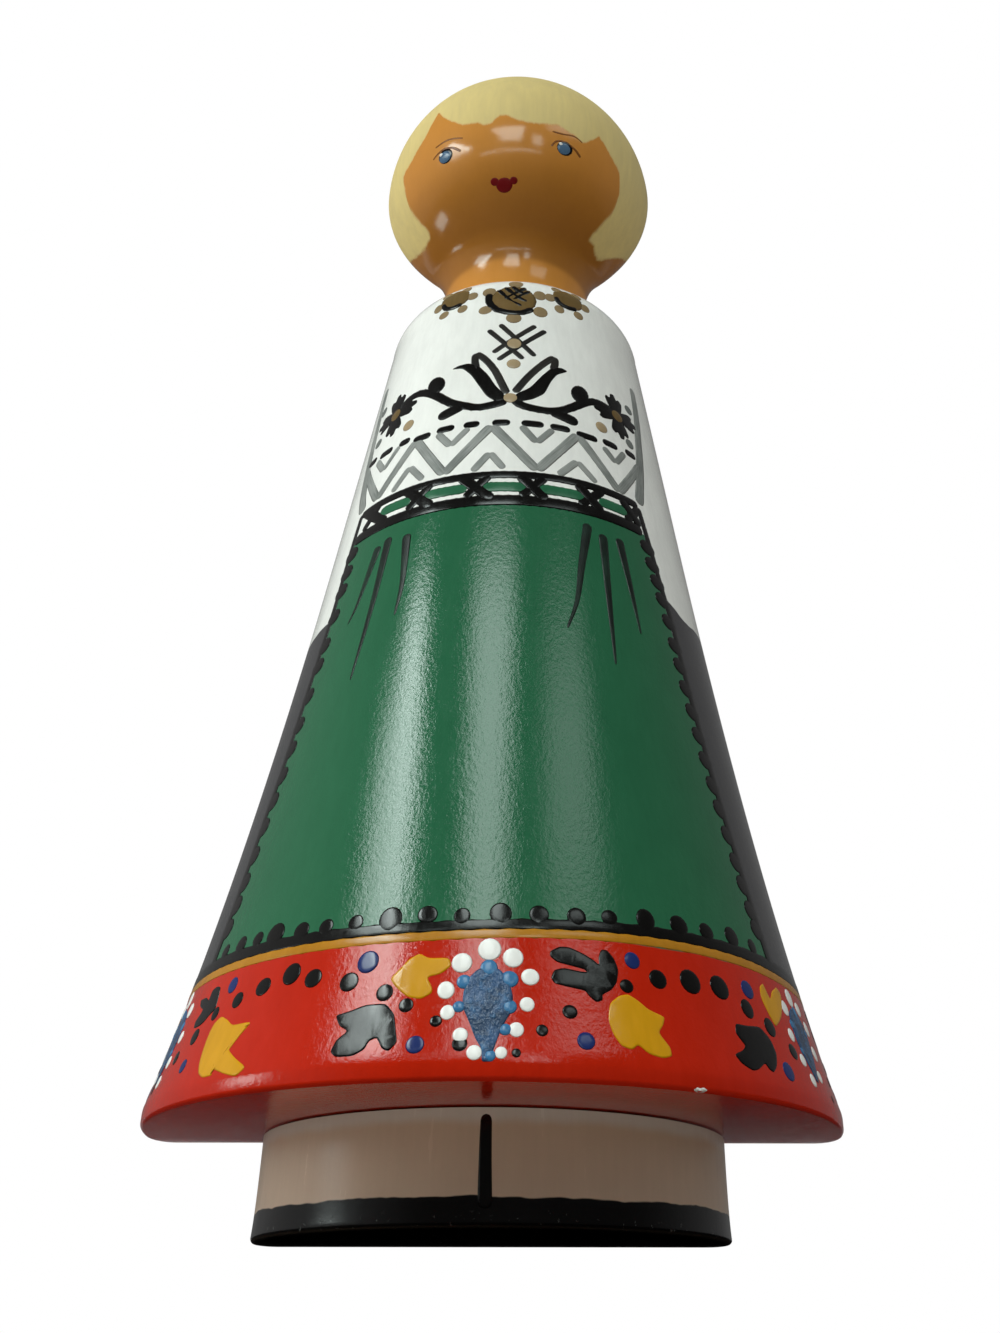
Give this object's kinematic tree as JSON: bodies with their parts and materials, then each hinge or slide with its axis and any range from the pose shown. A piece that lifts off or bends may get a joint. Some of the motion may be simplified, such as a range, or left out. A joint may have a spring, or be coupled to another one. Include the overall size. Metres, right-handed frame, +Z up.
{
  "type": "wooden doll wall hanging",
  "caption": "Half-round turned wooden doll in painted folk dress with a flat back; it hangs on a wall by a swinging ring in a pocket or stands on its leg block.",
  "frame": {"origin": "middle of the bounding box in plan, at the height of the foot's underside", "axes": "+Z up along the doll, the doll's face looks along -Y, the flat back faces +Y, +X is to the viewer's right"},
  "size_m": [0.147, 0.0734, 0.3442],
  "materials": {
    "skin_paint": "gloss lacquered paint on turned wood",
    "dress_paint": "gloss lacquered paint on turned wood",
    "stocking_paint": "gloss lacquered paint on turned wood",
    "dowel_beech": "bare beech",
    "zinc_strap": "zinc-plated sheet steel",
    "zinc_wire": "zinc-plated wire",
    "screw_steel": "plated steel"
  },
  "bodies": {
    "doll": {"head": "skin_paint", "body": "dress_paint", "leg_block": "stocking_paint", "neck_dowel": "dowel_beech", "leg_dowel_left": "dowel_beech", "leg_dowel_right": "dowel_beech", "hanger_strap": "zinc_strap", "hanger_screw_lower": "screw_steel", "hanger_screw_upper": "screw_steel"},
    "ring": {"hanger_ring": "zinc_wire"}
  },
  "joints": [
    {"name": "ring_swing", "type": "hinge", "parent": "doll", "child": "ring", "pos_m": [0, 0.03305, 0.1903], "axis": [1, 0, 0], "range_deg": [-4, 174]}
  ]
}
